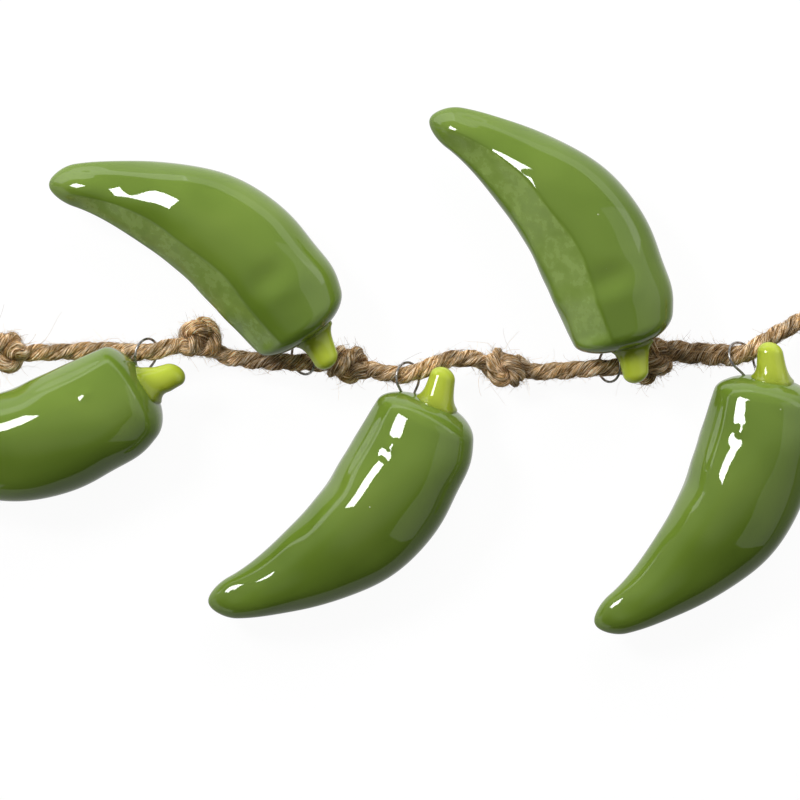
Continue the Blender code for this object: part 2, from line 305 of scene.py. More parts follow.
def pod_relief(along, side, face):
    """How far the casting stands out from the plain shape, in metres. side runs from -1 on
    the outer side of the bend to 1 on the hollow side, and face from -1 to 1, back to front."""
    front = smoothstep(0.0, 0.35, face)
    back = smoothstep(0.0, 0.35, -face)
    hollow = smoothstep(0.45, 0.95, side)
    outer = smoothstep(0.45, 0.95, -side)
    turn = np.arctan2(face, side)
    relief = 0.00014 * np.sin(along / 0.0062 + 2.0 * turn + 0.4)
    relief = relief + 0.00008 * np.sin(along / 0.0040 - 3.0 * turn + 1.9)
    relief = relief + outer * swells(OUTER_SIDE, along)
    relief = relief + hollow * swells(HOLLOW_SIDE, along)
    relief = relief + hollow * smoothstep(0.10, -0.35, face) * swells(HOLLOW_SIDE_OF_BACK, along)
    relief = relief + hollow * smoothstep(-0.5, 0.2, face) * swells(HOLLOW_SIDE_OF_FRONT, along)
    relief = relief + front * humps(FRONT_NICKS, along, side)
    # Fine wrinkles near the hollow side.
    wrinkled = front * bump(along, 0.026, 0.017) * bump(side, 0.78, 0.13)
    relief = relief + 0.00018 * wrinkled * np.sin(side * 36 + along * 110)
    relief = relief + front * humps(FRONT_FORM, along, side)
    relief = relief + back * humps(BACK_FORM, along, side)
    # The back falls away to the outer side near the tip.
    leant = smoothstep(0.0, 0.85, -face) * smoothstep(0.35, -0.5, side)
    relief = relief - 0.00200 * leant * bump(along, 0.1028, 0.0140)
    ends = smoothstep(0.0005, 0.006, along) * smoothstep(0.0005, 0.008, POD_LENGTH - along)
    return relief * ends


def pod_stations():
    """Places along the pod from its tip to its cap, closer together where it rounds off."""
    turns = np.sin(np.linspace(0, 1, 27)[1:] * math.pi / 2)
    tip = POD_LENGTH - TIP_ROUND * (1 - np.cos(np.linspace(0.04, 1, 22) * math.pi / 2))
    body = np.linspace(POD_LENGTH - TIP_ROUND, SHOULDER_ROUND, 126)[1:]
    shoulder = SHOULDER_ROUND * (1 - turns)
    shoulder[-1] = 1e-7
    return np.concatenate([tip, body, shoulder])


def pod_skin(bend, roll, sides=180):
    """Rings of points down the pod in its own frame, 1 on the flat of the back, and 1 along
    the lip of the crease. roll turns the crease about the pod, in degrees."""
    along = pod_stations()[:, None]
    turn = (2 * math.pi * (np.arange(sides) + 0.5) / sides)[None, :]
    half = pod_half_width(along)
    side = np.cos(turn) + 0 * along
    face = np.sin(turn) + 0 * along
    # The back is flatter from a crease to the hollow side.
    rolled = turn - math.radians(roll)
    hollow = np.cos(rolled) + 0 * along
    behind = np.sin(rolled) + 0 * along < 0
    crease = smooth_value(CREASE, along)
    share = np.clip((hollow - crease) / (FLAT_END - crease), 0, 1)
    chord = np.sqrt(1 - crease**2) * (1 - share) + math.sqrt(1 - FLAT_END**2) * share
    depth = CREASE_DEPTH * smoothstep(0.003, 0.010, along)
    depth = depth * smoothstep(0.003, 0.014, POD_LENGTH - along)
    flat = behind & (hollow > crease) & (hollow < FLAT_END)
    inward = np.where(flat, depth * (np.abs(np.sin(rolled)) - chord), 0.0)
    lip = np.where(behind, bump(hollow, crease - CREASE_LIP, CREASE_LIP), 0.0)
    relief = pod_relief(along + 0 * side, side, face)
    reach = half + relief
    points = bent(-along + 0 * side, side * reach, (face + inward) * THICKNESS_SHARE * reach, bend)
    strip = behind * smoothstep(crease, crease + 0.03, hollow)
    strip = strip * smoothstep(FLAT_END, FLAT_END - 0.08, hollow)
    return points, strip * depth / CREASE_DEPTH, lip * depth


def stalk_skin(bend, lean, sides=64):
    """Rings of points up the stalk, from inside the cap to its round end, and 1 at its foot."""
    sunk = np.array([-0.0020, -0.0013, -0.0007, -0.0002])
    stem = np.linspace(0.0001, STALK_LENGTH - STALK_END_ROUND, 26)
    turns = np.sin(np.linspace(0, 1, 15)[1:] * math.pi / 2)
    end = STALK_LENGTH - STALK_END_ROUND * (1 - turns)
    end[-1] = STALK_LENGTH - 1e-6
    out = np.concatenate([sunk, stem, end])[:, None]
    turn = (2 * math.pi * (np.arange(sides) + 0.5) / sides)[None, :]
    half = stalk_half_width(out)
    half = half * (1 + 0.035 * np.cos(5 * turn + 1.0) * np.exp(-np.maximum(out, 0) / 0.004))
    half = half * (1 + 0.02 * np.cos(3 * turn + 2.0) * np.exp(-np.maximum(out, 0) / 0.012))
    lean = lean * np.maximum(out, 0) * smoothstep(0.0, 0.006, out)
    side = STALK_SIDE + half * np.cos(turn) + lean
    up = THICKNESS_SHARE * half * np.sin(turn)
    # 1 at the stalk's foot, fading up it: where the glaze is painted darker, partly for thick glaze
    # and partly as painted shade.
    foot = np.exp(-np.maximum(out, 0) / 0.0038) + 0 * side
    return bent(out + 0 * side, side, up, bend), foot


def pod_pose(place):
    half_bend = math.radians(place["bend"] / 2)
    lean_axis = Vector((math.sin(half_bend), math.cos(half_bend), 0.0))
    if place["turned"]:
        lean_axis.x = -lean_axis.x
    heading = Matrix.Rotation(math.radians(place["heading"]), 3, "Z")
    lean = Matrix.Rotation(-math.radians(TIP_DROP), 3, lean_axis)
    face = Matrix.Rotation(math.pi if place["turned"] else 0.0, 3, "X")
    return np.array(heading @ lean @ face)


def tube_faces(rings, sides, closed=False):
    """Quads between rings of points, and a fan's worth of end faces where it isn't closed."""
    i = np.arange(rings if closed else rings - 1)[:, None]
    k = np.arange(sides)[None, :]
    near = i * sides
    far = (i + 1) % rings * sides
    after = (k + 1) % sides
    quads = np.stack([near + k, near + after, far + after, far + k], axis=-1).reshape(-1, 4)
    faces = [tuple(q) for q in quads.tolist()]
    if not closed:
        faces.append(tuple(range(sides - 1, -1, -1)))
        faces.append(tuple(range((rings - 1) * sides, rings * sides)))
    return faces


def add_piece(name, points, faces, material, values=None):
    """A mesh piece that rides on the body, with its own values for the material to read."""
    mesh = bpy.data.meshes.new(name)
    mesh.from_pydata(np.asarray(points).reshape(-1, 3).tolist(), [], faces)
    mesh.shade_smooth()
    for key, value in (values or {}).items():
        value = np.asarray(value, float)
        kind = "FLOAT_VECTOR" if value.ndim > 1 else "FLOAT"
        layer = mesh.attributes.new(key, kind, "POINT")
        layer.data.foreach_set("vector" if value.ndim > 1 else "value", value.ravel())
    mesh.materials.append(material)
    piece = bpy.data.objects.new(name, mesh)
    bpy.context.scene.collection.objects.link(piece)
    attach(piece, BODY)
    return piece


def make_pod(name, place, glaze, lime):
    pose = pod_pose(place)
    bend = math.radians(place["bend"])
    skin, strip, lip = pod_skin(bend, ROLLS.get(name, 0.0))
    skin = skin @ pose.T
    shift = np.array([*place["at"], -skin[..., 2].min()])
    rings, sides = skin.shape[:2]
    body = add_piece(f"{name}_body", skin + shift, tube_faces(rings, sides), glaze,
                     {"strip": strip.ravel(), "lip": lip.ravel()})
    stem, foot = stalk_skin(bend, STALK_LEANS.get(name, 0.0))
    rings, sides = stem.shape[:2]
    add_piece(f"{name}_stalk", stem @ pose.T + shift, tube_faces(rings, sides), lime,
              {"lip": foot.ravel()})
    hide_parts(name)


def make_eye(name, eye, wire, segments=72, sides=12):
    """A pod's wire eye, leaning to one side about the line from its middle to the cap."""
    heading = math.radians(eye["heading"])
    lean = math.radians(eye["lean"])
    to_cap = np.array([math.cos(heading), math.sin(heading), 0.0])
    level = np.array([math.sin(heading), -math.cos(heading), 0.0])
    across = level * math.cos(lean) + np.array([0, 0, math.sin(lean)])
    turn = 2 * math.pi * np.arange(segments) / segments
    from_foot = np.degrees(np.minimum(turn, 2 * math.pi - turn))
    reach = EYE_RADIUS + (eye["foot"] + 0.0006) * np.exp(-((from_foot / FOOT_SPREAD) ** 2))
    line = (to_cap * np.cos(turn)[:, None] + across * np.sin(turn)[:, None]) * reach[:, None]
    normal = np.cross(to_cap, across)
    along = np.roll(line, -1, axis=0) - np.roll(line, 1, axis=0)
    outer = np.cross(along, normal)
    outer /= np.linalg.norm(outer, axis=1, keepdims=True)
    around = 2 * math.pi * (np.arange(sides) + 0.5) / sides
    shift = outer[:, None] * np.cos(around)[:, None] + normal * np.sin(around)[:, None]
    points = line[:, None] + WIRE_RADIUS * shift + np.array(eye["at"])
    ring = add_piece(f"{name.replace('chilli', 'eye')}_wire", points,
                     tube_faces(segments, sides, closed=True), wire)
    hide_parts(name.replace("chilli", "eye"))


def catmull(points, per_span):
    """A smooth curve through points."""
    points = np.array(points, float)
    ends = np.vstack([2 * points[0] - points[1], points, 2 * points[-1] - points[-2]])
    line = []
    for i in range(len(points) - 1):
        a, b, c, d = ends[i : i + 4]
        for t in np.arange(per_span) / per_span:
            bow = 2 * a - 5 * b + 4 * c - d
            twist = 3 * b - a - 3 * c + d
            line.append(0.5 * (2 * b + (c - a) * t + bow * t * t + twist * t**3))
    return np.array([*line, points[-1]])


def distances(line):
    return np.concatenate([[0], np.cumsum(np.linalg.norm(np.diff(line, axis=0), axis=1))])


def read_line(line, along, at):
    return np.stack([np.interp(at, along, line[:, k]) for k in range(3)], axis=1)


def loose_knot():
    """The middle line of a loose overhand knot along X, with its two straight ends."""
    t = np.linspace(math.pi + 0.5, 3 * math.pi - 0.5, 40)
    loop = np.stack([-(np.sin(t) + 2 * np.sin(2 * t)), np.cos(t) - 2 * np.cos(2 * t) + 3,
                     -np.sin(3 * t)], axis=1) * 0.72
    loop[:, 1] -= 1.2
    start = [[-3.2, 0, 0], [-2.4, 0, 0], [-1.76, loop[0, 1] * 0.4, loop[0, 2] * 0.5]]
    end = [[-x, y, -z] for x, y, z in start[::-1]]
    return catmull(np.vstack([start, loop, end]), 10)


def draw_in(p, rest):
    """Moves neighbours along a line towards the same distance from each other."""
    for s in (0, 1):
        m = (len(p) - s) // 2
        a, b = p[s : s + 2 * m : 2], p[s + 1 : s + 2 * m : 2]
        gap = b - a
        far = np.linalg.norm(gap, axis=1, keepdims=True)
        step = 0.5 * (far - rest) / np.maximum(far, 1e-9) * gap
        a += step
        b -= step


def stiffen(p, reach, least):
    """Opens the bends of a line until points 2 * reach steps apart are at least so far apart,
    and smooths it a little."""
    gap = p[2 * reach :] - p[: -2 * reach]
    far = np.linalg.norm(gap, axis=1, keepdims=True)
    step = 0.25 * np.maximum(least - far, 0) / np.maximum(far, 1e-9) * gap
    p[: -2 * reach] -= step
    p[2 * reach :] += step
    p[1:-1] += 0.03 * (0.5 * (p[:-2] + p[2:]) - p[1:-1])


def push_apart(p, low, high):
    """Moves the listed pairs of a line's points away from each other, where they are nearer
    than the rope's thickness of 1."""
    gap = p[high] - p[low]
    far = np.linalg.norm(gap, axis=1)
    near = far < 1
    if not near.any():
        return
    step = (0.5 * (1 - far[near]) / np.maximum(far[near], 1e-9))[:, None] * gap[near]
    shift = np.zeros_like(p)
    hits = np.zeros(len(p))
    np.add.at(shift, low[near], -step)
    np.add.at(shift, high[near], step)
    np.add.at(hits, low[near], 1)
    np.add.at(hits, high[near], 1)
    p += shift / np.maximum(hits, 1)[:, None] * 1.3


def tight_knot(count=110, rounds=600, shrink=0.9975, passes=8, straightness=0.93):
    """The middle line of an overhand knot along X, for a rope of thickness 1. A loose one is
    drawn tight: its length shrinks between fixed ends, and no two stretches come too near."""
    line = loose_knot()
    along = distances(line)
    p = read_line(line, along, np.linspace(0, along[-1], count))
    rest = along[-1] / (count - 1)
    i, j = np.triu_indices(count, 1)
    first = p[0].copy()
    last = p[-1].copy()
    for _ in range(rounds):
        rest *= shrink
        reach = max(2, round(0.45 / rest))  # half of the steps that stay nearly straight
        apart = (j - i) * rest > 1.57  # nearer points can't bend round to touch
        low, high = i[apart], j[apart]
        for _ in range(passes):
            draw_in(p, rest)
            p[0], p[-1] = first, last
            p[1, 1:] *= 0.5
            p[-2, 1:] *= 0.5
            stiffen(p, reach, 2 * reach * rest * straightness)
            push_apart(p, low, high)
        if np.linalg.norm(np.diff(p, axis=0), axis=1).mean() / rest > 1.05:
            break  # it can't be drawn any tighter
    return p


def knot_shape():
    """The knot at its real size: pressed shorter and rounder, as hairy rope pulls tight."""
    p = tight_knot() * KNOT_THICK * np.array(KNOT_PRESS)
    inside = np.where(np.abs(p[:, 0]) < KNOT_HALF)[0]
    p = p[inside[0] : inside[-1] + 1]
    middle = 0.5 * (p[:, 1].min() + p[:, 1].max())
    p[:, 1] -= middle * 0.8 * smoothstep(KNOT_HALF, 0.5 * KNOT_HALF, np.abs(p[:, 0]))
    return p


def plain_stretch(base, along, start, end):
    """Points about a millimetre apart on the rope's route, between two places along it."""
    return read_line(base, along, np.linspace(start, end, max(3, round((end - start) / 0.001))))


def across_route(base, along, place, roll):
    """Two directions across the rope's route at a place, turned about it by some degrees."""
    ahead = read_line(base, along, [place - 0.003, place + 0.003])
    tangent = ahead[1] - ahead[0]
    tangent /= np.linalg.norm(tangent)
    level = np.cross([0, 0, 1], tangent)
    level /= np.linalg.norm(level)
    upright = np.cross(tangent, level)
    c, s = math.cos(math.radians(roll)), math.sin(math.radians(roll))
    return level * c + upright * s, upright * c - level * s


def even_rings(line, tight):
    """A line and its tightness, smoothed and read at even steps, with the steps' places."""
    for _ in range(3):
        line[1:-1] += 0.25 * (line[:-2] + line[2:] - 2 * line[1:-1])
    far = distances(line)
    at = np.linspace(0, far[-1], round(far[-1] / RING_STEP) + 1)
    tight = np.pad(np.interp(at, far, tight), 4, mode="edge")
    return read_line(line, far, at), at, np.convolve(tight, np.ones(9) / 9, mode="valid")


def rope_line():
    """The rope's middle line with its knots tied in, how far along it each of its points is,
    and 1 where it is squeezed in a knot."""
    base = catmull(ROUTE, ROUTE_STEPS)
    along = distances(base)
    at_knots = along[::ROUTE_STEPS][list(KNOTS)] + np.array(KNOT_SHIFTS)
    knot = knot_shape()
    parts = []
    squeezed = []
    free = 0.0
    for place, roll in zip(at_knots, KNOT_ROLLS):
        start = place - KNOT_HALF
        if start - free > 0.0005:
            parts.append(plain_stretch(base, along, free, start)[:-1])
            squeezed.append(np.zeros(len(parts[-1])))
        shift = max(0.0, free - start)
        one, two = across_route(base, along, place, roll)
        keep = knot[knot[:, 0] > -KNOT_HALF + shift] if shift else knot
        middle = read_line(base, along, place + keep[:, 0])
        parts.append(middle + keep[:, 1:2] * one + keep[:, 2:3] * two)
        squeezed.append(np.ones(len(keep)))
        free = place + KNOT_HALF
    parts.append(plain_stretch(base, along, free, along[-1]))
    squeezed.append(np.zeros(len(parts[-1])))
    return even_rings(np.vstack(parts), np.concatenate(squeezed))


def frames_along(line):
    """Two directions across the line at each point, which turn as little as they can."""
    tangent = np.gradient(line, axis=0)
    tangent /= np.linalg.norm(tangent, axis=1, keepdims=True)
    one = np.cross(tangent[0], [0, 0, 1.0])
    one /= np.linalg.norm(one)
    ones = [one]
    for t in tangent[1:]:
        one = one - t * np.dot(one, t)
        one = one / np.linalg.norm(one)
        ones.append(one)
    ones = np.array(ones)
    return tangent, ones, np.cross(tangent, ones)


def slow_noise(rng, at, wave):
    """Smooth noise between about -1 and 1 along a line."""
    knots = np.arange(0, at[-1] + 2 * wave, wave)
    values = rng.uniform(-1, 1, len(knots))
    line = catmull(np.stack([knots, values, values], axis=1), 6)
    return np.interp(at, line[:, 0], line[:, 1])


def teased(line):
    """1 where the rope is teased out."""
    first, last = TEASED
    x = line[:, 0]
    return smoothstep(first - 0.004, first + 0.004, x) * smoothstep(last + 0.006, last - 0.006, x)


def strand_skin(k, rng, line, at, squeeze, open_end):
    """Rings of points along the rope's strand k, which winds round the rope's middle line,
    and for each point how far along and which way round the strand its fibre lies."""
    _, one, two = frames_along(line)
    turn = 2 * math.pi * (k / 3 - at / LAY_LENGTH)
    offset = (STRAND_OFFSET + 0.00012 * slow_noise(rng, at, 0.011)) * squeeze
    offset = offset * (1 + 0.35 * open_end)
    radius = (STRAND_RADIUS + 0.00011 * slow_noise(rng, at, 0.007)) * squeeze
    radius = radius * (1 - 0.25 * open_end)
    out = one * np.cos(turn)[:, None] + two * np.sin(turn)[:, None]
    middle = line + out * offset[:, None]
    forward = np.gradient(middle, axis=0)
    forward /= np.linalg.norm(forward, axis=1, keepdims=True)
    side = np.cross(forward, out)
    side /= np.linalg.norm(side, axis=1, keepdims=True)
    outer = np.cross(side, forward)
    around = 2 * math.pi * np.arange(STRAND_SIDES) / STRAND_SIDES
    wound = around[None, :] + 2 * math.pi * at[:, None] / YARN_LENGTH
    yarns = 1 + 0.07 * np.cos(5 * wound + 2 * slow_noise(rng, at, 0.02)[:, None])
    reach = radius[:, None] * yarns
    rim = outer[:, None] * np.cos(around)[:, None] + side[:, None] * np.sin(around)[:, None]
    points = middle[:, None] + rim * reach[..., None]
    along = np.broadcast_to(at[:, None] / FIBRE_LENGTH + 40 * k, wound.shape)
    fibre = np.stack([along, FIBRE_TURNS * np.cos(wound), FIBRE_TURNS * np.sin(wound)], -1)
    return points.reshape(-1, 3), fibre.reshape(-1, 3)


def make_rope(line, at, tight, jute):
    """Three strands laid together. They open a little at the rope's ends, and all of it is
    fatter where it is teased out."""
    rng = np.random.default_rng(SEED)
    squeeze = (1 - (1 - KNOT_SQUEEZE) * tight) * (1 + FLUFF * teased(line))
    open_end = 1 - smoothstep(0.0, 0.007, np.minimum(at, at[-1] - at))
    strands = [strand_skin(k, rng, line, at, squeeze, open_end) for k in range(3)]
    points = np.vstack([skin for skin, _ in strands])
    points[:, 2] = np.maximum(points[:, 2], ROPE_LOWEST)
    faces = []
    for k in range(3):
        shift = k * len(at) * STRAND_SIDES
        faces.extend([tuple(c + shift for c in f) for f in tube_faces(len(at), STRAND_SIDES)])
    # Painted light: the jute is lighter about one knot.
    pale = bump(line[:, 0], ROUTE[KNOTS[PAINTED_LIGHT_KNOT]][0], 0.010)
    # Painted shade: the teased stretch is darker, for a pod's shadow on it and the shade among its
    # loose fibres.
    painted_shade_and_light = (1 - TEASED_PAINTED_SHADE * teased(line)) * (1 + KNOT_PAINTED_LIGHT * pale)
    painted_shade_and_light = np.tile(np.repeat(painted_shade_and_light, STRAND_SIDES), 3)
    piece = add_piece("rope_strands", points, faces, jute,
                      {"fibre": np.vstack([fibre for _, fibre in strands]), "painted_shade_and_light": painted_shade_and_light})
    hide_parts("rope")
    return piece


def sliver_skin(path, wide):
    """Points and faces of three-sided slivers along many paths, open at both ends."""
    count, rings = path.shape[:2]
    along = np.gradient(path, axis=1)
    along /= np.maximum(np.linalg.norm(along, axis=2, keepdims=True), 1e-9)
    first = np.cross(along, np.array([0.3, 0.2, 0.93]))
    first /= np.maximum(np.linalg.norm(first, axis=2, keepdims=True), 1e-9)
    second = np.cross(along, first)
    edges = []
    for k in range(3):
        angle = 2 * math.pi * k / 3
        edges.append(path + wide[..., None] * (first * math.cos(angle) + second * math.sin(angle)))
    points = np.stack(edges, axis=2).reshape(-1, 3)
    one_sliver = np.array([f for f in tube_faces(rings, 3) if len(f) == 4])
    shift = (np.arange(count) * rings * 3)[:, None, None]
    faces = [tuple(f) for f in (one_sliver[None] + shift).reshape(-1, 4).tolist()]
    return points, faces


def make_fuzz(name, line, hair, count, seed, length, lift, stray, thick, steps, curly=1.0,
              at_knots=None):
    """Loose hairs of the jute: each a thin, curved, three-sided sliver with a foot in the rope.
    lift is how much they stand up, and stray how much that varies."""
    rng = np.random.default_rng(seed)
    tangent, one, two = frames_along(line)
    fluff = teased(line)
    chance = 1 + 1.6 * fluff if at_knots is None else np.array(at_knots)
    chance[:2] = chance[-2:] = 0
    i = rng.choice(len(line), count, p=chance / chance.sum())
    turn = rng.uniform(0, 2 * math.pi, count)
    out = one[i] * np.cos(turn)[:, None] + two[i] * np.sin(turn)[:, None]
    around = np.cross(tangent[i], out)
    size = np.clip(length * np.exp(rng.normal(0, 0.5, count)), *HAIR_SIZES)
    way = rng.choice([-1.0, 1.0], count)[:, None]
    way = way * (tangent[i] + around * rng.normal(-0.3, 0.35, (count, 1)))
    heading = way + around * rng.normal(0, 0.12, (count, 1))
    heading = heading + out * np.abs(rng.normal(lift, stray, (count, 1)))
    heading /= np.linalg.norm(heading, axis=1, keepdims=True)
    curl = rng.normal(0, 1, (count, 3))
    curl = np.cross(curl, heading) * rng.uniform(0.2, 1.3, (count, 1)) * curly
    reach = ROPE_RADIUS * (1 + FLUFF * fluff[i]) * rng.uniform(0.86, 1.06, count)
    place = line[i] + out * reach[:, None]
    path = [place]
    for _ in range(steps):
        place = place + heading * (size / steps)[:, None]
        heading = heading + curl / steps + rng.normal(0, 0.10, (count, 3))
        heading /= np.linalg.norm(heading, axis=1, keepdims=True)
        path.append(place)
    path = np.stack(path, axis=1)
    path[..., 2] = np.maximum(path[..., 2], HAIR_LOWEST)
    wide = thick * rng.uniform(0.6, 1.4, count)[:, None] * np.linspace(1.0, 0.5, steps + 1)
    points, faces = sliver_skin(path, wide)
    # Painted shade: hairs on the teased stretch get a darker tone, as the strands there do.
    tone = np.repeat(rng.uniform(0, 1, count) * (1 - 0.3 * fluff[i]), (steps + 1) * 3)
    return add_piece(name, points, faces, hair, {"tone": tone})


def new_material(name):
    material = bpy.data.materials.new(name)
    material.use_nodes = True
    nodes = material.node_tree.nodes
    return material, nodes, material.node_tree.links, nodes["Principled BSDF"]


def noise(nodes, links, vector, scale, detail=3.0, rough=0.5, distortion=0.0):
    node = nodes.new("ShaderNodeTexNoise")
    node.inputs["Scale"].default_value = scale
    node.inputs["Detail"].default_value = detail
    node.inputs["Roughness"].default_value = rough
    node.inputs["Distortion"].default_value = distortion
    links.new(vector, node.inputs["Vector"])
    return node.outputs["Fac"]


def ramp(nodes, links, value, stops):
    node = nodes.new("ShaderNodeValToRGB")
    while len(node.color_ramp.elements) < len(stops):
        node.color_ramp.elements.new(0.5)
    for element, (place, colour) in zip(node.color_ramp.elements, stops):
        element.position = place
        element.color = (*colour, 1.0)
    links.new(value, node.inputs["Fac"])
    return node.outputs["Color"]


def level(nodes, links, value, low, high, new_low, new_high):
    node = nodes.new("ShaderNodeMapRange")
    node.interpolation_type = "SMOOTHSTEP"
    for key, number in (("From Min", low), ("From Max", high),
                        ("To Min", new_low), ("To Max", new_high)):
        node.inputs[key].default_value = number
    links.new(value, node.inputs["Value"])
    return node.outputs["Result"]


def blend(nodes, links, factor, one, two, kind="MIX"):
    """Mixes two colours; each may be a socket or a plain colour, and so may the factor."""
    node = nodes.new("ShaderNodeMix")
    node.data_type = "RGBA"
    node.blend_type = kind
    for socket, value in ((node.inputs[0], factor), (node.inputs[6], one), (node.inputs[7], two)):
        if isinstance(value, bpy.types.NodeSocket):
            links.new(value, socket)
        elif isinstance(value, tuple):
            socket.default_value = (*value, 1.0)
        else:
            socket.default_value = value
    return node.outputs[2]


def combine(nodes, links, operation, one, two):
    """One value out of two, by the maths node's operation."""
    node = nodes.new("ShaderNodeMath")
    node.operation = operation
    links.new(one, node.inputs[0])
    links.new(two, node.inputs[1])
    return node.outputs[0]


def attribute(nodes, name, output="Fac"):
    node = nodes.new("ShaderNodeAttribute")
    node.attribute_name = name
    return node.outputs[output]


def bumped(nodes, links, height, shader, strength, distance, coat=False, before=None):
    node = nodes.new("ShaderNodeBump")
    node.inputs["Strength"].default_value = strength
    node.inputs["Distance"].default_value = distance
    links.new(height, node.inputs["Height"])
    if before is not None:
        links.new(before, node.inputs["Normal"])
    links.new(node.outputs["Normal"], shader.inputs["Normal"])
    if coat:
        links.new(node.outputs["Normal"], shader.inputs["Coat Normal"])
    return node.outputs["Normal"]


def glaze_material(name, colours, rough=0.02, pooling_and_shade=0.45):
    """Colour under a clear, glossy glaze, with a few pinholes. On the flat of the back the colour
    is paler and a little cloudy, partly as thinner glaze and partly as painted light. It is
    darker at the crease's lip and round the foot of the stalk, partly as thick glaze that
    gathers there and partly as painted shade."""
    material, nodes, links, shader = new_material(name)
    place = nodes.new("ShaderNodeTexCoord").outputs["Object"]
    cloud = noise(nodes, links, place, 26.0, 2.0, 0.5, 0.4)
    colour = ramp(nodes, links, cloud, ((0.25, colours[0]), (0.50, colours[1]), (0.75, colours[2])))
    # Paler and cloudy on the flat of the back: partly thinner glaze, partly painted light where
    # that side catches the light.
    strip = attribute(nodes, "strip")
    mottle = noise(nodes, links, place, 190.0, 4.0, 0.65)
    cloudy = level(nodes, links, mottle, 0.36, 0.68, 0.50, 1.00)
    pale = combine(nodes, links, "MULTIPLY", strip, cloudy)
    colour = blend(nodes, links, pale, colour, colours[3])
    # Darker at the crease's lip and the stalk's foot: partly thick glaze gathered there, partly
    # painted shade.
    pooled_and_shaded = level(nodes, links, attribute(nodes, "lip"), 0.0, 1.0, 0.0, pooling_and_shade)
    colour = blend(nodes, links, pooled_and_shaded, colour, colours[0])
    cells = nodes.new("ShaderNodeTexVoronoi")
    cells.inputs["Scale"].default_value = 70.0
    links.new(place, cells.inputs["Vector"])
    dot = level(nodes, links, cells.outputs["Distance"], 0.012, 0.030, 0.8, 0.0)
    colour = blend(nodes, links, dot, colour, colours[4])
    links.new(colour, shader.inputs["Base Color"])
    shader.inputs["Roughness"].default_value = 0.6
    shader.inputs["Specular IOR Level"].default_value = 0.0
    shader.inputs["Coat Weight"].default_value = 1.0
    shader.inputs["Coat IOR"].default_value = 1.52
    hazy = nodes.new("ShaderNodeMath")
    hazy.operation = "MULTIPLY_ADD"
    links.new(strip, hazy.inputs[0])
    links.new(level(nodes, links, mottle, 0.35, 0.70, 0.14, 0.34), hazy.inputs[1])
    hazy.inputs[2].default_value = rough
    links.new(hazy.outputs[0], shader.inputs["Coat Roughness"])
    wave = noise(nodes, links, place, 110.0, 2.0, 0.4)
    first = bumped(nodes, links, wave, shader, 0.12, 0.0006, coat=True)
    bumped(nodes, links, dot, shader, 0.5, 0.0003, coat=True, before=first)
    return material


def wire_material():
    material, nodes, links, shader = new_material("wire_look")
    place = nodes.new("ShaderNodeTexCoord").outputs["Object"]
    grime = noise(nodes, links, place, 700.0, 3.0)
    links.new(ramp(nodes, links, grime, ((0.35, (0.20, 0.19, 0.18)), (0.7, (0.42, 0.40, 0.38)))),
              shader.inputs["Base Color"])
    shader.inputs["Metallic"].default_value = 0.9
    links.new(level(nodes, links, grime, 0.3, 0.7, 0.16, 0.36), shader.inputs["Roughness"])
    bumped(nodes, links, grime, shader, 0.2, 0.0001)
    return material


def jute_material():
    """Twisted jute: fine long fibres that wind round each strand, light on dark."""
    material, nodes, links, shader = new_material("jute_look")
    fibre = attribute(nodes, "fibre", "Vector")
    place = nodes.new("ShaderNodeTexCoord").outputs["Object"]
    long_lines = noise(nodes, links, fibre, 1.0, 3.0, 0.65, 0.4)
    fine_lines = noise(nodes, links, fibre, 2.4, 2.0, 0.6, 0.3)
    tone = blend(nodes, links, 0.5, long_lines, fine_lines)
    colour = ramp(nodes, links, tone, (
        (0.43, (0.050, 0.020, 0.004)),
        (0.48, (0.380, 0.188, 0.050)),
        (0.53, (0.900, 0.570, 0.250)),
        (0.57, (1.000, 0.900, 0.740)),
    ))
    patches = noise(nodes, links, place, 130.0, 3.0)
    shade = level(nodes, links, patches, 0.38, 0.62, 0.64, 1.34)
    # The rope's own values add painted shade on the teased stretch and painted light about one
    # knot.
    shade = combine(nodes, links, "MULTIPLY", shade, attribute(nodes, "painted_shade_and_light"))
    grey = nodes.new("ShaderNodeCombineColor")
    for k in range(3):
        links.new(shade, grey.inputs[k])
    colour = blend(nodes, links, 1.0, colour, grey.outputs["Color"], "MULTIPLY")
    links.new(colour, shader.inputs["Base Color"])
    shader.inputs["Roughness"].default_value = 0.85
    shader.inputs["Specular IOR Level"].default_value = 0.25
    bumped(nodes, links, tone, shader, 1.0, 0.0009)
    return material


def hair_material():
    material, nodes, links, shader = new_material("jute_hair_look")
    colour = ramp(nodes, links, attribute(nodes, "tone"), (
        (0.0, (0.14, 0.075, 0.024)),
        (0.5, (0.60, 0.385, 0.175)),
        (1.0, (0.95, 0.77, 0.51)),
    ))
    links.new(colour, shader.inputs["Base Color"])
    shader.inputs["Roughness"].default_value = 0.7
    shader.inputs["Specular IOR Level"].default_value = 0.3
    return material


def floor_material():
    """White paper that shines by itself, so that shadows on it stay faint."""
    material, _, _, shader = new_material("paper_look")
    shader.inputs["Base Color"].default_value = (0.07, 0.07, 0.07, 1.0)
    shader.inputs["Roughness"].default_value = 0.9
    shader.inputs["Specular IOR Level"].default_value = 0.0
    shader.inputs["Emission Color"].default_value = (1.0, 1.0, 1.0, 1.0)
    shader.inputs["Emission Strength"].default_value = 0.95
    return material


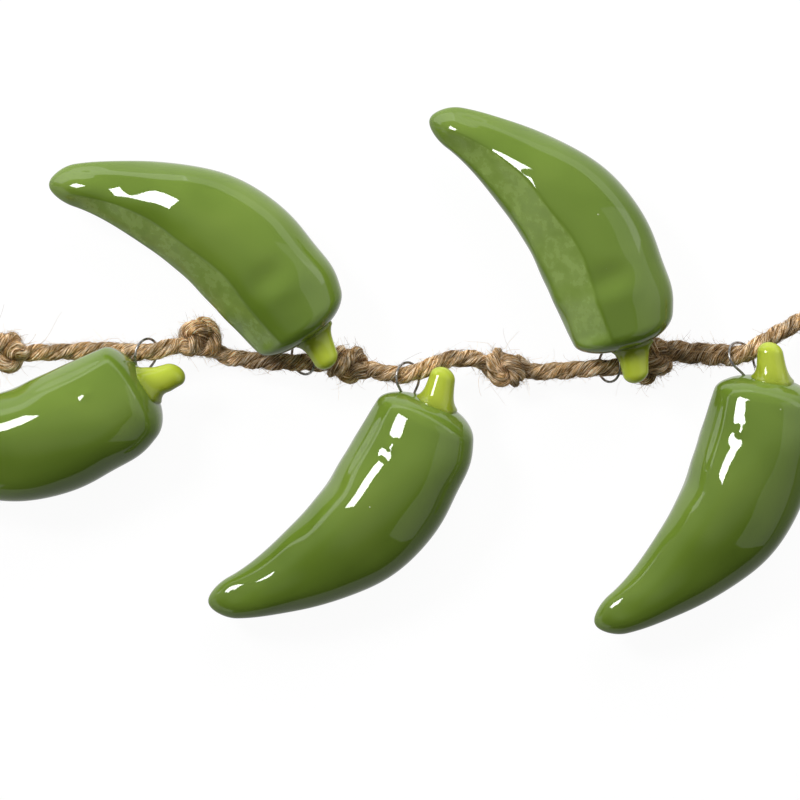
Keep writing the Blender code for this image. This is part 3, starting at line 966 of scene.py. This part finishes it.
def make_floor():
    mesh = bpy.data.meshes.new("paper")
    corners = [(x * FLOOR_HALF, y * FLOOR_HALF, FLOOR_HEIGHT)
               for x, y in ((-1, -1), (1, -1), (1, 1), (-1, 1))]
    mesh.from_pydata(corners, [], [(0, 1, 2, 3)])
    mesh.materials.append(floor_material())
    floor = bpy.data.objects.new("paper", mesh)
    bpy.context.scene.collection.objects.link(floor)
    # Its light on the undersides comes from the world's lower half, which is dimmer.
    floor.visible_diffuse = floor.visible_glossy = floor.visible_shadow = False


def make_camera():
    data = bpy.data.cameras.new("camera")
    data.sensor_width = SENSOR
    data.lens = SENSOR * VIEW_DISTANCE / VIEW_WIDTH
    data.clip_start = 0.05
    data.clip_end = 30.0
    camera = bpy.data.objects.new("camera", data)
    x, y, z = VIEW_MIDDLE
    camera.location = (x, y, z + VIEW_DISTANCE)
    bpy.context.scene.collection.objects.link(camera)
    bpy.context.scene.camera = camera


def make_light(name, toward, distance, width, height, radiance, seen=True, lights=True):
    """An even rectangular light that faces the object. radiance is how bright it looks, and it
    can be left out of the glaze's reflections or out of the light that falls on things."""
    data = bpy.data.lights.new(name, "AREA")
    data.shape = "RECTANGLE"
    data.size = width
    data.size_y = height
    data.energy = radiance * math.pi * width * height
    light = bpy.data.objects.new(name, data)
    direction = Vector(toward).normalized()
    aim = Vector((VIEW_MIDDLE[0], VIEW_MIDDLE[1], 0.0))
    light.location = aim + direction * distance
    light.rotation_euler = direction.to_track_quat("Z", "Y").to_euler()
    light.visible_glossy = seen
    light.visible_diffuse = lights
    bpy.context.scene.collection.objects.link(light)


def make_lights():
    """A bright window with the light that falls from it, a soft light from behind, and boards
    that show in the glaze as its paler sides."""
    make_light("glint", GLINT, 2.2, 1.00, 0.64, 24.0, lights=False)
    make_light("key", GLINT, 2.2, 0.60, 0.60, 23.0, seen=False)
    make_light("top_fill", (0.28, 0.80, 0.53), 2.0, 1.3, 1.3, 3.64, seen=False)
    make_light("back_board", (0.50, 0.85, 0.15), 2.0, 2.7, 0.70, 1.0)
    make_light("left_back_board", (-0.60, 0.79, 0.13), 2.0, 2.8, 0.65, 1.6)
    make_light("right_board", (0.83, -0.03, 0.45), 1.6, 3.2, 1.5, 0.50, lights=False)
    make_light("left_board", (-0.80, -0.57, 0.13), 1.6, 2.2, 0.5, 0.7)


def make_world():
    """White light that is stronger from behind and above, and from a floor below, where it
    comes more from behind and less from the right."""
    world = bpy.data.worlds.new("studio")
    world.use_nodes = True
    nodes, links = world.node_tree.nodes, world.node_tree.links
    direction = nodes.new("ShaderNodeTexCoord").outputs["Generated"]
    parts = nodes.new("ShaderNodeSeparateXYZ")
    links.new(direction, parts.inputs[0])
    x, y, z = parts.outputs
    behind = level(nodes, links, y, -0.30, 0.20, 0.02, 0.40)
    overhead = level(nodes, links, z, 0.70, 0.92, 0.0, 0.30)
    above = combine(nodes, links, "MAXIMUM", behind, overhead)
    lower_half = level(nodes, links, z, -0.06, 0.02, 1.0, 0.0)
    from_behind = level(nodes, links, y, -0.60, 0.60, 0.48, 0.95)
    from_left = level(nodes, links, x, 0.45, 0.95, 1.0, 0.35)
    floor = combine(nodes, links, "MULTIPLY", from_behind, from_left)
    below = combine(nodes, links, "MULTIPLY", lower_half, floor)
    strength = combine(nodes, links, "MAXIMUM", above, below)
    links.new(strength, nodes["Background"].inputs["Strength"])
    nodes["Background"].inputs["Color"].default_value = (1.0, 1.0, 1.0, 1.0)
    bpy.context.scene.world = world


def main():
    bpy.context.scene.view_settings.view_transform = "Standard"
    make_camera()
    line, at, tight = rope_line()
    rope = make_rope(line, at, tight, jute_material())
    hair = hair_material()
    flat = make_fuzz("rope_flat_hairs", line, hair, count=7000, seed=11, length=0.0024,
                     lift=0.04, stray=0.08, thick=0.000070, steps=3)
    short = make_fuzz("rope_short_hairs", line, hair, count=4200, seed=12, length=0.0013,
                      lift=0.60, stray=0.50, thick=0.000042, steps=3)
    long = make_fuzz("rope_long_hairs", line, hair, count=1400, seed=13, length=0.0038,
                     lift=0.35, stray=0.45, thick=0.000046, steps=6)
    curled = make_fuzz("rope_curled_hairs", line, hair, count=110, seed=14, length=0.0085,
                       lift=0.6, stray=0.3, thick=0.000050, steps=14, curly=4.2, at_knots=tight)
    glaze = glaze_material("green_glaze_look", GREEN)
    stem = glaze_material("lime_glaze_look", LIME, rough=0.05, pooling_and_shade=0.85)
    wire = wire_material()
    for name, place in PODS.items():
        make_pod(name, place, glaze, stem)
        make_eye(name, EYES[name], wire)
    make_floor()
    make_lights()
    make_world()


main()
